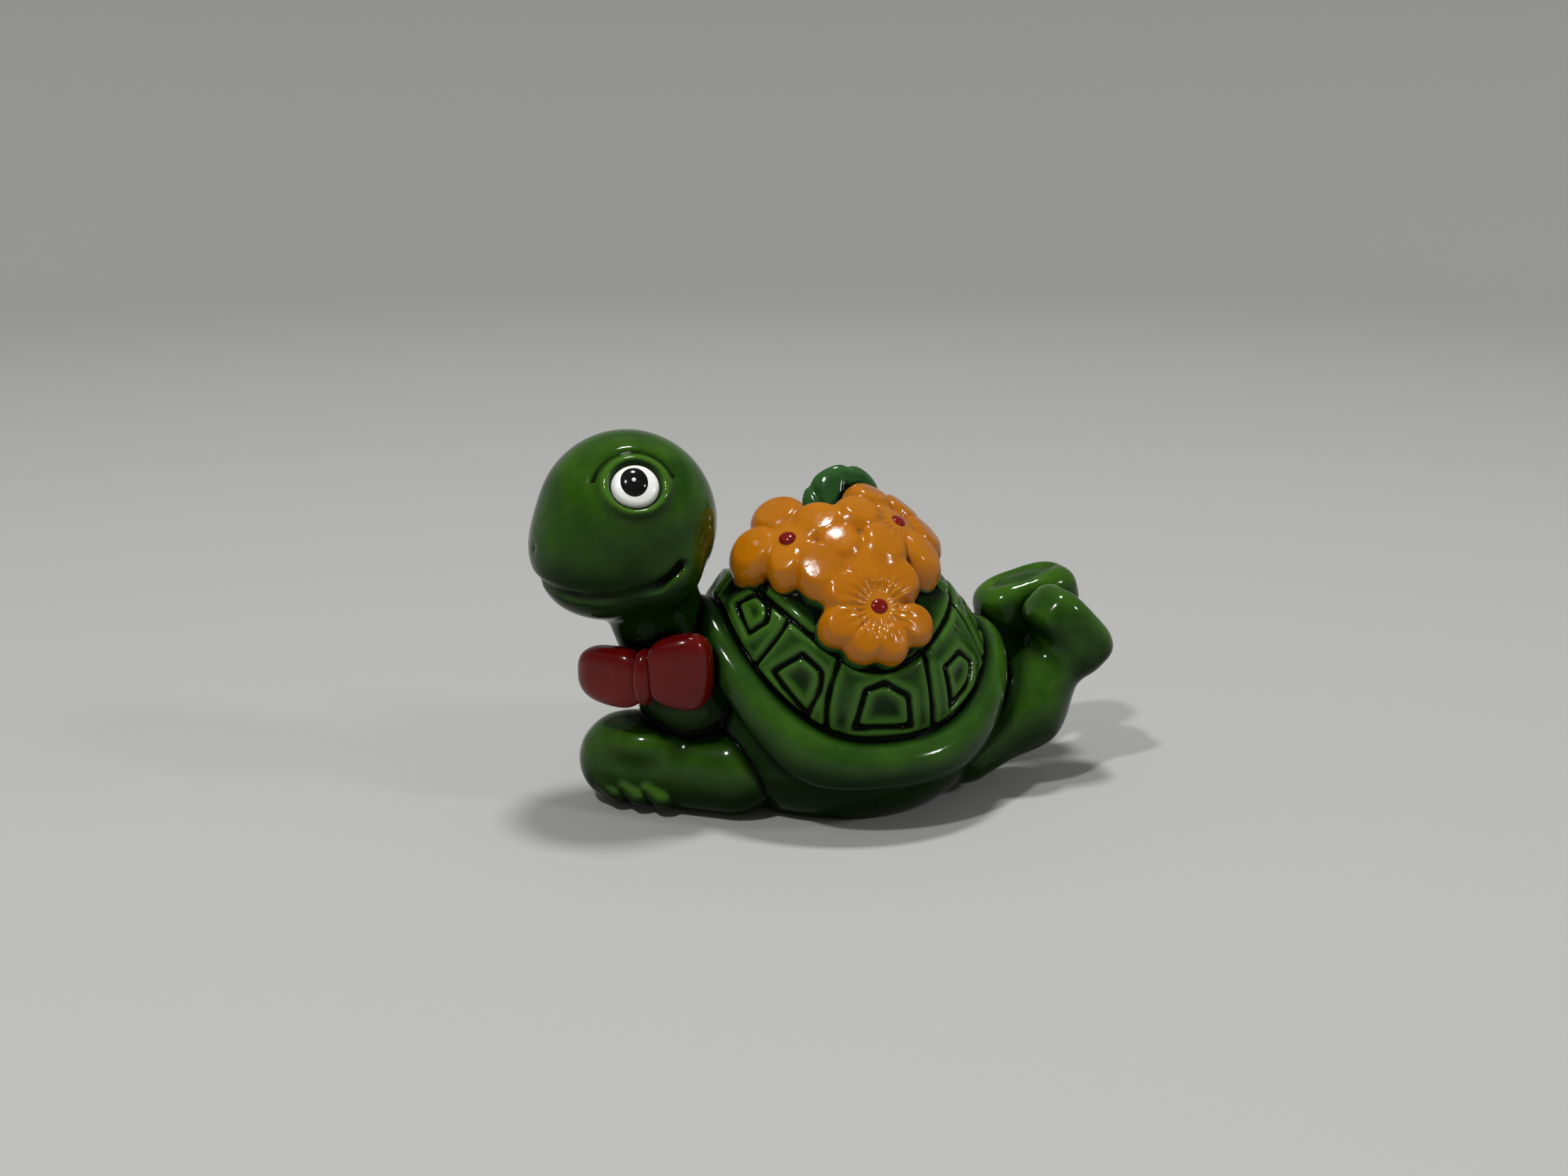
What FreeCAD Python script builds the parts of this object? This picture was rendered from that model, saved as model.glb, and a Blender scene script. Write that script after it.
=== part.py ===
import FreeCAD, Part
import os
from math import cos, radians, sin, sqrt

# Turtle figurine that lies on its belly, with its head up, its arms folded in front, its hind feet up and
# crossed behind it, three flowers and a leaf on its shell, and a bow at its neck.
# Millimetres. +X runs towards the hind feet, -Y towards the turtle's left side, +Z up.
# The origin is on the flat underside, below the middle of the shell.
# Every piece is one form of the figurine. Where two forms meet, one gives way to the other, face to face.

Vector = FreeCAD.Vector
Rotation = FreeCAD.Rotation
DOWN = Vector(0, 0, -1)
UP = Vector(0, 0, 1)
AWAY = Vector(0, 1, 0)

# Driving dimensions. A place is written from the origin, unless its note says otherwise.
SIZES = [
    ("shell_length", 19.1, "rim centre line, front to rear"),
    ("shell_width", 19.6, "rim centre line, side to side"),
    ("rim_side_height", 4.7, "rim centre line above the table at the sides"),
    ("rim_front_height", 12.4, "rim centre line above the table, arched over the neck"),
    ("rim_rear_height", 9.4, "rim centre line above the table, arched over the legs"),
    ("rim_front_power", 3.6, "how late the rim climbs to the front, a pure number"),
    ("rim_rear_power", 3.2, "how late the rim climbs to the rear, a pure number"),
    ("rim_thickness", 2.7, "across the rolled rim, seen from above"),
    ("rim_depth", 3.0, "height of the rolled rim"),
    ("dome_length", 19.1, "shell dome across its short axis, front to rear"),
    ("dome_width", 18.6, "shell dome, side to side"),
    ("dome_height", 22.2, "shell dome along its long axis"),
    ("dome_forward", 0.2, "dome centre, towards the feet"),
    ("dome_centre_height", 7.2, "dome centre above the table"),
    ("dome_tilt", 42.7, "degrees that the long axis leans to the front"),
    ("scute_thickness", 0.5, "raised plates on the dome"),
    ("scute_groove", 0.45, "gap between two plates"),
    ("crown_length", 14.2, "ring groove between the lower and the upper plates, front to rear"),
    ("crown_width", 16.2, "ring groove between the lower and the upper plates, side to side"),
    ("side_scute_spread", 44.0, "degrees of the shell that a side plate covers"),
    ("end_scute_spread", 36.0, "degrees of the shell that each front or rear plate covers"),
    ("panel_radius", 1.45, "raised five-sided panel in each side plate, centre to corner"),
    ("end_panel_radius", 1.15, "raised five-sided panel in each front or rear plate, centre to corner"),
    ("panel_groove", 0.4, "groove round each panel"),
    ("belly_length", 19.6, "under body, front to rear"),
    ("belly_width", 18.8, "under body, side to side"),
    ("belly_depth", 14.0, "under body, before it is cut flat at the table"),
    ("belly_centre_height", 5.0, "under body centre above the table"),
    ("chest_length", 9.8, "chest under the front arch, front to rear"),
    ("chest_width", 8.2, "chest, side to side"),
    ("chest_height", 8.8, "chest, bottom to top"),
    ("chest_forward", 10.6, "chest centre, towards the front"),
    ("chest_centre_height", 7.6, "chest centre above the table"),
    ("head_forward", 14.35, "skull centre, towards the front"),
    ("head_centre_height", 19.1, "skull centre above the table"),
    ("skull_length", 11.4, "skull, front to rear"),
    ("skull_width", 11.0, "skull, side to side"),
    ("skull_height", 11.6, "skull, bottom to top"),
    ("muzzle_forward", 2.3, "muzzle centre, in front of the skull centre"),
    ("muzzle_drop", 1.9, "muzzle centre, below the skull centre"),
    ("muzzle_length", 7.6, "muzzle, front to rear"),
    ("muzzle_width", 8.4, "muzzle, side to side"),
    ("muzzle_height", 6.0, "muzzle, bottom to top"),
    ("jaw_forward", 1.7, "lower jaw centre, in front of the skull centre"),
    ("jaw_drop", 4.3, "lower jaw centre, below the skull centre"),
    ("jaw_length", 7.4, "lower jaw, front to rear"),
    ("jaw_width", 7.4, "lower jaw, side to side"),
    ("jaw_height", 3.6, "lower jaw, bottom to top"),
    ("neck_top_width", 6.0, "neck where it enters the head"),
    ("neck_base_width", 7.2, "neck where it enters the chest"),
    ("eye_length", 3.5, "white of the eye, front to rear"),
    ("eye_height", 3.3, "white of the eye, bottom to top"),
    ("eye_depth", 1.6, "eyeball, through the head's side"),
    ("pupil_width", 2.1, "black pupil across"),
    ("pupil_depth", 0.5, "pupil, how thick it is"),
    ("glint_width", 0.9, "white dot on the pupil"),
    ("eye_forward_share", 0.12, "eye direction from the skull centre, towards the front"),
    ("eye_side_share", 0.82, "eye direction from the skull centre, towards the side"),
    ("eye_rise_share", 0.52, "eye direction from the skull centre, upwards"),
    ("bow_turn", 38.0, "degrees that the bow is turned from the left side to the front"),
    ("bow_height", 9.7, "bow knot above the table"),
    ("bow_reach", 4.2, "bow knot out from the neck's axis"),
    ("bow_thickness", 2.4, "wings of the bow, front to back"),
    ("bow_front_wing_length", 4.9, "wing towards the front"),
    ("bow_front_wing_height", 3.9, "wing towards the front, bottom to top"),
    ("bow_rear_wing_length", 4.4, "wing towards the shell"),
    ("bow_rear_wing_height", 5.2, "wing towards the shell, bottom to top"),
    ("bow_knot_width", 1.7, "knot of the bow, side to side"),
    ("bow_knot_height", 3.0, "knot of the bow, bottom to top"),
    ("arm_thickness", 6.0, "forearm, which lies on the table"),
    ("arm_sink", 0.1, "forearm flattened where it lies on the table"),
    ("left_hand_forward", 14.3, "left hand centre, towards the front"),
    ("left_hand_across", 1.6, "left hand centre, across the middle line"),
    ("left_elbow_forward", 8.3, "left elbow centre, towards the front"),
    ("left_elbow_out", 2.7, "left elbow centre, out from the middle line"),
    ("right_wrist_thickness", 4.6, "right forearm where it goes under the left one"),
    ("right_elbow_forward", 8.3, "right elbow centre, towards the front"),
    ("right_elbow_out", 2.7, "right elbow centre, out from the middle line"),
    ("finger_length", 2.6, "each of three fingers that show under the forearm"),
    ("finger_width", 1.35, "finger across"),
    ("finger_height", 2.0, "finger centre above the table"),
    ("finger_reach", 2.6, "finger centres out from the forearm's axis"),
    ("finger_pitch", 1.8, "from one finger to the next"),
    ("finger_start", 0.7, "front finger, back from the hand centre"),
    ("thigh_thickness", 4.9, "hind leg where it leaves the shell"),
    ("shin_thickness", 4.3, "hind leg at the ankle"),
    ("ankle_thickness", 3.0, "hind leg where it enters the foot"),
    ("thigh_back", 8.6, "leg start, towards the rear"),
    ("thigh_out", 3.6, "leg start, out from the middle line"),
    ("thigh_height", 3.9, "leg start above the table"),
    ("left_knee_back", 12.5, "left leg bend, towards the rear"),
    ("left_knee_out", 2.7, "left leg bend, out from the middle line"),
    ("left_knee_height", 5.1, "left leg bend above the table"),
    ("left_foot_back", 15.2, "left foot centre, towards the rear"),
    ("left_foot_out", 2.2, "left foot centre, out from the middle line"),
    ("left_foot_height", 9.7, "left foot centre above the table"),
    ("left_foot_slope", 47.0, "degrees that the left sole slopes down to the rear"),
    ("right_knee_back", 13.2, "right leg bend, towards the rear"),
    ("right_knee_out", 3.2, "right leg bend, out from the middle line"),
    ("right_knee_height", 6.6, "right leg bend above the table"),
    ("right_foot_back", 14.3, "right foot centre, towards the rear"),
    ("right_foot_out", 2.5, "right foot centre, out from the middle line"),
    ("right_foot_height", 11.1, "right foot centre above the table"),
    ("right_foot_slope", -15.0, "degrees that the right foot slopes up to the rear"),
    ("foot_length", 7.4, "hind foot, heel to toe"),
    ("foot_width", 4.6, "hind foot, side to side"),
    ("foot_thickness", 3.8, "hind foot, sole to top"),
    ("petal_length", 4.4, "flower petal, along its middle line"),
    ("petal_width", 3.9, "flower petal across"),
    ("petal_thickness", 3.4, "flower petal, before it meets the shell"),
    ("petal_reach", 2.0, "petal centre out from the flower's centre"),
    ("petal_top", 1.7, "flower petal's highest part above its flower's base"),
    ("front_flower_lift", 0.4, "base of the flower near the head, above the shell"),
    ("rear_flower_lift", 0.9, "base of the flower near the feet, above the shell"),
    ("low_flower_lift", 0.0, "base of the flower on the left side, above the shell"),
    ("flower_eye_width", 1.2, "dark centre of a flower"),
    ("flower_eye_depth", 1.0, "dark centre of a flower, how thick it is"),
    ("leaf_length", 5.6, "leaf behind the flowers, side to side"),
    ("leaf_height", 5.4, "leaf, foot to top edge"),
    ("leaf_thickness", 1.6, "leaf, front to back"),
    ("leaf_lift", 1.6, "leaf centre above the shell"),
    ("leaf_lean", 30.0, "degrees that the leaf leans back"),
]

# Each flower: direction from the dome centre towards the front, the left side and up, and the turn of its petals.
FLOWER_SHARES = {
    "front_flower": (0.40, 0.29, 0.87, 20.0),
    "rear_flower": (-0.17, 0.28, 0.94, 50.0),
    "low_flower": (0.065, 0.755, 0.65, 54.0),
}
LEAF_SHARE = (-0.03, -0.12, 0.98)
# How far along the left forearm, from the hand to the elbow, the right forearm goes under it.
ARM_CROSSING_SHARE = 0.4
# Each lower plate of the shell's left side: where its panel lies, from the dome centre towards the rear, the left
# side and up, and the cell of the panel's size.
PLATES = {
    "front_scute": ((-0.70, -0.33, 0.62), "end_panel_radius"),
    "front_side_scute": ((-0.56, -0.78, 0.29), "panel_radius"),
    "side_scute": ((-0.05, -0.98, 0.20), "panel_radius"),
    "rear_side_scute": ((0.53, -0.82, 0.25), "panel_radius"),
    "rear_scute": ((0.80, -0.28, 0.50), "end_panel_radius"),
}
# The surface under the shell runs from near the dome's centre to outside the rim, in shares of the rim's distance.
LIMIT_SHARES = (0.1, 1.6)
PETALS = 5
PANEL_CORNERS = 5
RIM_SECTIONS = 36
CROWN_PLATES = 6
FINGERS = 3


# Document and sheet

doc = FreeCAD.newDocument("turtle_figurine")
sheet = doc.addObject("Spreadsheet::Sheet", "Sizes")
for row, (alias, value, note) in enumerate(SIZES, start=1):
    sheet.set(f"A{row}", note)
    sheet.set(f"B{row}", str(value))
    sheet.setAlias(f"B{row}", alias)
doc.recompute()
finished = []


def size(alias):
    """The value of one cell of the sheet."""
    return float(sheet.get(alias))


def bind(piece, sizes):
    """Ties properties of a piece to expressions of the sheet's cells."""
    for name, expression in sizes.items():
        piece.setExpression(name, expression)


def place(piece, centre, rotation):
    """Places a piece. A centre given as three texts is tied to the sheet."""
    piece.Placement = FreeCAD.Placement(Vector(), rotation)
    if isinstance(centre, tuple):
        bind(piece, {f"Placement.Base.{axis}": text for axis, text in zip("xyz", centre)})
    else:
        piece.Placement.Base = centre


def ellipsoid(name, across, centre, rotation=Rotation()):
    """An ellipsoid, given as its full sizes along its own x, y and z."""
    ball = doc.addObject("Part::Ellipsoid", name)
    along, side, height = across
    bind(ball, {"Radius1": f"({height}) / 2", "Radius2": f"({along}) / 2", "Radius3": f"({side}) / 2"})
    place(ball, centre, rotation)
    return ball


def fuse(name, forms):
    """One form made of several that overlap."""
    joined = doc.addObject("Part::MultiFuse", name)
    joined.Shapes = forms
    return joined


def both(name, first, second):
    """What two forms have in common."""
    common = doc.addObject("Part::Common", name)
    common.Base = first
    common.Tool = second
    return common


def less(name, base, tools):
    """A form that gives way to each form in a list."""
    for tool in tools:
        cut = doc.addObject("Part::Cut", f"{name}_less_{tool.Name}")
        cut.Base = base
        cut.Tool = tool
        base = cut
    return base


def finish(label, form):
    """Names a form as a finished piece."""
    doc.recompute()
    form.Label = label
    finished.append(form)


def taper(name, start, end, start_width, end_width):
    """A limb with round ends: two balls and the cone that joins them."""
    forms = []
    run = end - start
    for part, point, width in (("start", start, start_width), ("end", end, end_width)):
        ball = doc.addObject("Part::Sphere", f"{name}_{part}")
        bind(ball, {"Radius": f"{width} / 2"})
        place(ball, point, Rotation())
        forms.append(ball)
    cone = doc.addObject("Part::Cone", f"{name}_middle")
    lean = (size_of(start_width) - size_of(end_width)) / 2 / run.Length
    shrink = sqrt(1 - lean * lean)
    cone.Radius1 = size_of(start_width) / 2 * shrink
    cone.Radius2 = size_of(end_width) / 2 * shrink
    first = start + run * (lean * size_of(start_width) / 2 / run.Length)
    last = end + run * (lean * size_of(end_width) / 2 / run.Length)
    cone.Height = (last - first).Length
    place(cone, first, Rotation(UP, run))
    forms.append(cone)
    return forms


def size_of(expression):
    """The value of an expression that is one cell of the sheet."""
    return size(expression.replace("Sizes.", ""))


def limb(name, stations):
    """A limb through several stations, each a place and the cell that holds its thickness."""
    forms = []
    for count in range(len(stations) - 1):
        start, start_width = stations[count]
        end, end_width = stations[count + 1]
        forms += taper(f"{name}_{count}", start, end, start_width, end_width)
    return fuse(name, forms)


# Shell

def dome_form(name, inset):
    """The shell dome, smaller all round by the inset, which is a cell of the sheet or nothing."""
    trim = f" - 2 * Sizes.{inset}" if inset else ""
    across = [f"Sizes.{key}{trim}" for key in ("dome_length", "dome_width", "dome_height")]
    centre = ("Sizes.dome_forward", "0", "Sizes.dome_centre_height")
    return ellipsoid(name, across, centre, Rotation(AWAY, -size("dome_tilt")))


def rim_point(turn):
    """A point of the rim's centre line. Turn 0 is the rear, 180 the front."""
    forward = cos(radians(turn))
    end_height = size("rim_rear_height") if forward >= 0 else size("rim_front_height")
    power = size("rim_rear_power") if forward >= 0 else size("rim_front_power")
    height = size("rim_side_height") + (end_height - size("rim_side_height")) * abs(forward) ** power
    across = sin(radians(turn))
    return Vector(size("shell_length") / 2 * forward, size("shell_width") / 2 * across, height)


def rim_section(count):
    """One section of the rolled rim, square to its centre line."""
    step = 360 / RIM_SECTIONS
    turn = step * count
    along = rim_point(turn + step / 2) - rim_point(turn - step / 2)
    outwards = Vector(cos(radians(turn)), sin(radians(turn)), 0)
    section = doc.addObject("Part::Ellipse", "rim_section")
    bind(section, {"MajorRadius": "Sizes.rim_depth / 2", "MinorRadius": "Sizes.rim_thickness / 2"})
    place(section, rim_point(turn), Rotation(along.cross(outwards), Vector(), along, "ZXY"))
    return section


def rim_form():
    """The rolled rim, one closed loft round the shell."""
    rim = doc.addObject("Part::Loft", "rim_form")
    rim.Sections = [rim_section(count) for count in range(RIM_SECTIONS)]
    rim.Solid = True
    rim.Closed = True
    rim.Ruled = True
    return rim


def under_shell(name, margin):
    """The space under the rim's centre line, raised by a margin."""
    centre = Vector(size("dome_forward"), 0, size("dome_centre_height"))
    points = [rim_point(360 * count / RIM_SECTIONS) + UP * margin for count in range(RIM_SECTIONS)]
    edges = []
    for share in LIMIT_SHARES:
        edge = Part.BSplineCurve()
        edge.interpolate([centre + (point - centre) * share for point in points], PeriodicFlag=True)
        edges.append(edge.toShape())
    ring = doc.addObject("Part::Feature", f"{name}_ring")
    ring.Shape = Part.makeRuledSurface(edges[0], edges[1]).extrude(DOWN * size("dome_height"))
    middle = doc.addObject("Part::Cylinder", f"{name}_middle")
    bind(middle, {"Radius": f"{LIMIT_SHARES[0]} * Sizes.shell_width", "Height": "Sizes.dome_height"})
    place(middle, centre + DOWN * size("dome_height"), Rotation())
    return fuse(name, [ring, middle])


def oval_column(name, margin):
    """An upright oval column as wide as the crown of the shell, and wider by the margin in cells."""
    outline = doc.addObject("Part::Ellipse", f"{name}_outline")
    bind(outline, {
        "MajorRadius": f"Sizes.crown_width / 2{margin}",
        "MinorRadius": f"Sizes.crown_length / 2{margin}",
    })
    place(outline, Vector(), Rotation(UP, 90))
    column = doc.addObject("Part::Extrusion", name)
    column.Base = outline
    column.DirMode = "Custom"
    column.Dir = UP
    column.Solid = True
    bind(column, {"LengthFwd": "2 * Sizes.dome_height"})
    return column


def slab(name, turn):
    """An upright slab through the middle of the shell, as thick as a groove."""
    box = doc.addObject("Part::Box", name)
    bind(box, {
        "Length": "2 * Sizes.shell_length",
        "Width": "Sizes.scute_groove",
        "Height": "2 * Sizes.dome_height",
    })
    turned = Rotation(UP, turn)
    corner = Vector(-size("shell_length"), -size("scute_groove") / 2, 0)
    place(box, turned.multVec(corner), turned)
    return box


def sector(name, first, last):
    """An upright wedge of the shell between two directions in degrees."""
    wedge = doc.addObject("Part::Cylinder", name)
    bind(wedge, {"Radius": "Sizes.shell_length", "Height": "2 * Sizes.dome_height"})
    wedge.Angle = last - first
    place(wedge, Vector(), Rotation(UP, first))
    return wedge


def panel_column(name, plate, margin):
    """A five-sided column that leaves the dome's centre through the middle of one plate."""
    direction, radius = PLATES[plate]
    column = doc.addObject("Part::Prism", name)
    column.Polygon = PANEL_CORNERS
    bind(column, {"Circumradius": f"Sizes.{radius}{margin}", "Height": "Sizes.dome_height"})
    outwards = Vector(*direction).normalize()
    sideways = UP.cross(outwards)
    place(column, ("Sizes.dome_forward", "0", "Sizes.dome_centre_height"),
          Rotation(outwards.cross(sideways), sideways, outwards, "ZXY"))
    return column


def lower_turns():
    """Where the lower plates of the left side start and end, in degrees round the shell, from the front."""
    side = size("side_scute_spread") / 2
    end = size("end_scute_spread")
    return [180, 180 + end, 270 - side, 270 + side, 360 - end, 360]


def mirrored(name, form):
    """The same form on the turtle's right side."""
    other = doc.addObject("Part::Mirroring", name)
    other.Source = form
    other.Normal = AWAY
    return other


def make_plates(layer):
    """Cuts the raised layer of the dome into plates, each lower one with its panel."""
    turns = lower_turns()
    wide = oval_column("crown_groove_outer", " + Sizes.scute_groove")
    narrow = oval_column("crown_groove_inner", "")
    grooves = [slab(f"plate_groove_{count}", turn) for count, turn in enumerate(turns[:-1])]
    lower = less("lower_plates", layer, [wide] + grooves)
    for count, plate in enumerate(PLATES):
        whole = both(f"{plate}_whole", lower, sector(f"{plate}_sector", turns[count], turns[count + 1]))
        opening = panel_column(f"{plate}_opening", plate, " + Sizes.panel_groove")
        frame = less(f"{plate}_frame", whole, [opening])
        panel = both(f"{plate}_panel", whole, panel_column(f"{plate}_middle", plate, ""))
        finish(f"left_{plate}", frame)
        finish(f"left_{plate}_panel", panel)
        finish(f"right_{plate}", mirrored(f"right_{plate}_frame", frame))
        finish(f"right_{plate}_panel", mirrored(f"right_{plate}_panel", panel))
    step = 360 / CROWN_PLATES
    crown_grooves = [slab(f"crown_groove_{count}", step * count) for count in range(CROWN_PLATES // 2)]
    crown = less("upper_plates", both("crown_layer", layer, narrow), crown_grooves)
    for count in range(CROWN_PLATES):
        wedge = sector(f"crown_sector_{count}", step * count, step * (count + 1))
        finish(f"crown_scute_{count + 1}", both(f"crown_plate_{count + 1}", crown, wedge))


# Flowers and leaf

def dome_point(share, lift):
    """A point over the dome and the direction straight out of the dome there."""
    forward, left, rise = share
    centre = Vector(size("dome_forward"), 0, size("dome_centre_height"))
    tilt = Rotation(AWAY, -size("dome_tilt"))
    direction = tilt.inverted().multVec(Vector(-forward, -left, rise))
    radii = (size("dome_length") / 2, size("dome_width") / 2, size("dome_height") / 2)
    reach = 1 / sqrt(sum((part / radius) ** 2 for part, radius in zip(direction, radii)))
    surface = direction * reach
    normal = Vector(*[part / radius ** 2 for part, radius in zip(surface, radii)]).normalize()
    return centre + tilt.multVec(surface + normal * lift), tilt.multVec(normal)


def make_flower(name, share):
    """Five petals that rest on the shell, and their dark centre."""
    *direction, turn = share
    base, normal = dome_point(direction, size(f"{name}_lift"))
    flat = Rotation(UP, normal)
    petals = []
    for count in range(PETALS):
        turned = flat * Rotation(UP, turn + 360 * count / PETALS)
        drop = size("petal_top") - size("petal_thickness") / 2
        centre = base + turned.multVec(Vector(size("petal_reach"), 0, drop))
        across = ("Sizes.petal_length", "Sizes.petal_width", "Sizes.petal_thickness")
        petals.append(ellipsoid(f"{name}_petal_{count}", across, centre, turned))
    flower = fuse(f"{name}_petals", petals)
    dot_across = ("Sizes.flower_eye_width", "Sizes.flower_eye_width", "Sizes.flower_eye_depth")
    dot = ellipsoid(f"{name}_dot", dot_across, base + normal * size("petal_top"), flat)
    return flower, dot


def leaf_form():
    """One broad leaf that stands behind the flowers and leans back."""
    centre, normal = dome_point(LEAF_SHARE, size("leaf_lift"))
    across = ("Sizes.leaf_length", "Sizes.leaf_thickness", "Sizes.leaf_height")
    return ellipsoid("leaf_form", across, centre, Rotation(Vector(1, 0, 0), -size("leaf_lean")))


# Head, neck and bow

def head_place(forward, drop):
    """A centre in the middle plane, given by cells measured from the skull's centre."""
    return (f"-Sizes.head_forward - {forward}", "0", f"Sizes.head_centre_height - {drop}")


def head_forms():
    """Skull and muzzle, and the lower jaw below them."""
    skull = ellipsoid("skull", ("Sizes.skull_length", "Sizes.skull_width", "Sizes.skull_height"), head_place("0", "0"))
    muzzle = ellipsoid("muzzle", ("Sizes.muzzle_length", "Sizes.muzzle_width", "Sizes.muzzle_height"),
                       head_place("Sizes.muzzle_forward", "Sizes.muzzle_drop"))
    jaw = ellipsoid("jaw", ("Sizes.jaw_length", "Sizes.jaw_width", "Sizes.jaw_height"),
                    head_place("Sizes.jaw_forward", "Sizes.jaw_drop"))
    return fuse("head_form", [skull, muzzle]), jaw


def eye_forms(side, across):
    """The eyeball, pupil and glint on one side. Across is -1 on the left and 1 on the right."""
    direction = Vector(-size("eye_forward_share"), across * size("eye_side_share"), size("eye_rise_share"))
    radii = (size("skull_length") / 2, size("skull_width") / 2, size("skull_height") / 2)
    reach = 1 / sqrt(sum((part / radius) ** 2 for part, radius in zip(direction, radii)))
    surface = direction * reach
    normal = Vector(*[part / radius ** 2 for part, radius in zip(surface, radii)]).normalize()
    sideways = UP.cross(normal).normalize()
    facing = Rotation(sideways, normal, normal.cross(sideways) * -1, "ZXY")
    head = Vector(-size("head_forward"), 0, size("head_centre_height"))
    ball = ellipsoid(f"{side}_eyeball", ("Sizes.eye_length", "Sizes.eye_depth", "Sizes.eye_height"),
                     head + surface, facing)
    front = head + surface + normal * (size("eye_depth") / 2)
    pupil = ellipsoid(f"{side}_pupil_form", ("Sizes.pupil_width", "Sizes.pupil_depth", "Sizes.pupil_width"),
                      front, facing)
    glint = ellipsoid(f"{side}_glint_form", ("Sizes.glint_width", "Sizes.pupil_depth", "Sizes.glint_width"),
                      front + normal * (size("pupil_depth") / 4), facing)
    return ball, pupil, glint


def chest_point():
    """The centre of the chest."""
    return Vector(-size("chest_forward"), 0, size("chest_centre_height"))


def neck_form():
    """The neck, a cone from the middle of the chest to the middle of the head."""
    run = Vector(-size("head_forward"), 0, size("head_centre_height")) - chest_point()
    neck = doc.addObject("Part::Cone", "neck_form")
    bind(neck, {"Radius1": "Sizes.neck_base_width / 2", "Radius2": "Sizes.neck_top_width / 2"})
    neck.Height = run.Length
    place(neck, chest_point(), Rotation(UP, run))
    return neck


def bow_forms():
    """The knot of the bow on the neck's left front, and its two wings."""
    head = Vector(-size("head_forward"), 0, size("head_centre_height"))
    chest = chest_point()
    climb = (size("bow_height") - chest.z) / (head.z - chest.z)
    turned = Rotation(UP, -size("bow_turn"))
    outwards = turned.multVec(Vector(0, -1, 0))
    along = turned.multVec(Vector(1, 0, 0))
    centre = chest + (head - chest) * climb + outwards * size("bow_reach")
    knot_across = ("Sizes.bow_knot_width", "Sizes.bow_thickness", "Sizes.bow_knot_height")
    knot = ellipsoid("knot", knot_across, centre, turned)
    wings = []
    for wing, sign in (("front", -1), ("rear", 1)):
        across = (f"Sizes.bow_{wing}_wing_length", "Sizes.bow_thickness", f"Sizes.bow_{wing}_wing_height")
        offset = sign * size(f"bow_{wing}_wing_length") / 2
        wings.append(ellipsoid(f"{wing}_wing", across, centre + along * offset, turned))
    return knot, wings


# Limbs

def left_arm_places():
    """Centres of the left hand and elbow. The forearm lies on the table and crosses the middle line."""
    height = size("arm_thickness") / 2 - size("arm_sink")
    hand = Vector(-size("left_hand_forward"), size("left_hand_across"), height)
    elbow = Vector(-size("left_elbow_forward"), -size("left_elbow_out"), height)
    return hand, elbow


def arm_forms():
    """The left forearm, and the right one, whose wrist ends inside it."""
    hand, elbow = left_arm_places()
    left = limb("left_arm_form", [(elbow, "Sizes.arm_thickness"), (hand, "Sizes.arm_thickness")])
    wrist = hand + (elbow - hand) * ARM_CROSSING_SHARE
    right_elbow = Vector(-size("right_elbow_forward"), size("right_elbow_out"), elbow.z)
    right = limb("right_arm_form", [(right_elbow, "Sizes.arm_thickness"), (wrist, "Sizes.right_wrist_thickness")])
    return left, right


def finger_form():
    """Three fingers of the right hand, which show under the left forearm."""
    hand, elbow = left_arm_places()
    back = (elbow - hand).normalize()
    outwards = Vector(back.y, -back.x, 0) * size("finger_reach")
    fingers = []
    for count in range(FINGERS):
        along = back * (size("finger_start") + count * size("finger_pitch"))
        centre = hand + along + outwards
        centre.z = size("finger_height")
        across = ("Sizes.finger_width", "Sizes.finger_length", "Sizes.finger_width")
        fingers.append(ellipsoid(f"finger_{count}", across, centre, Rotation(AWAY, outwards)))
    return fuse("finger_form", fingers)


def leg_forms(side, across):
    """A hind leg and its foot, raised behind the shell."""
    start = Vector(size("thigh_back"), across * size("thigh_out"), size("thigh_height"))
    knee = Vector(size(f"{side}_knee_back"), across * size(f"{side}_knee_out"), size(f"{side}_knee_height"))
    foot = Vector(size(f"{side}_foot_back"), across * size(f"{side}_foot_out"), size(f"{side}_foot_height"))
    leg = limb(f"{side}_leg_form", [
        (start, "Sizes.thigh_thickness"),
        (knee, "Sizes.shin_thickness"),
        (foot, "Sizes.ankle_thickness"),
    ])
    across_foot = ("Sizes.foot_length", "Sizes.foot_width", "Sizes.foot_thickness")
    slope = Rotation(AWAY, size(f"{side}_foot_slope"))
    return leg, ellipsoid(f"{side}_foot_form", across_foot, foot, slope)


def space_over_table(name):
    """All the space over the table."""
    block = doc.addObject("Part::Box", name)
    bind(block, {"Length": "4 * Sizes.shell_length", "Width": "4 * Sizes.shell_length", "Height": "2 * Sizes.dome_height"})
    span = 2 * size("shell_length")
    place(block, Vector(-span, -span, 0), Rotation())
    return block


# Assembly: each form gives way to those that lie over it

rim = rim_form()
dome = dome_form("dome_outer", "")
core = dome_form("dome_inner", "scute_thickness")
clear_of_rim = under_shell("under_plates", size("rim_depth") / 2 + size("scute_groove"))
layer = less("plate_layer", dome, [core, clear_of_rim, rim])
make_plates(layer)

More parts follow.
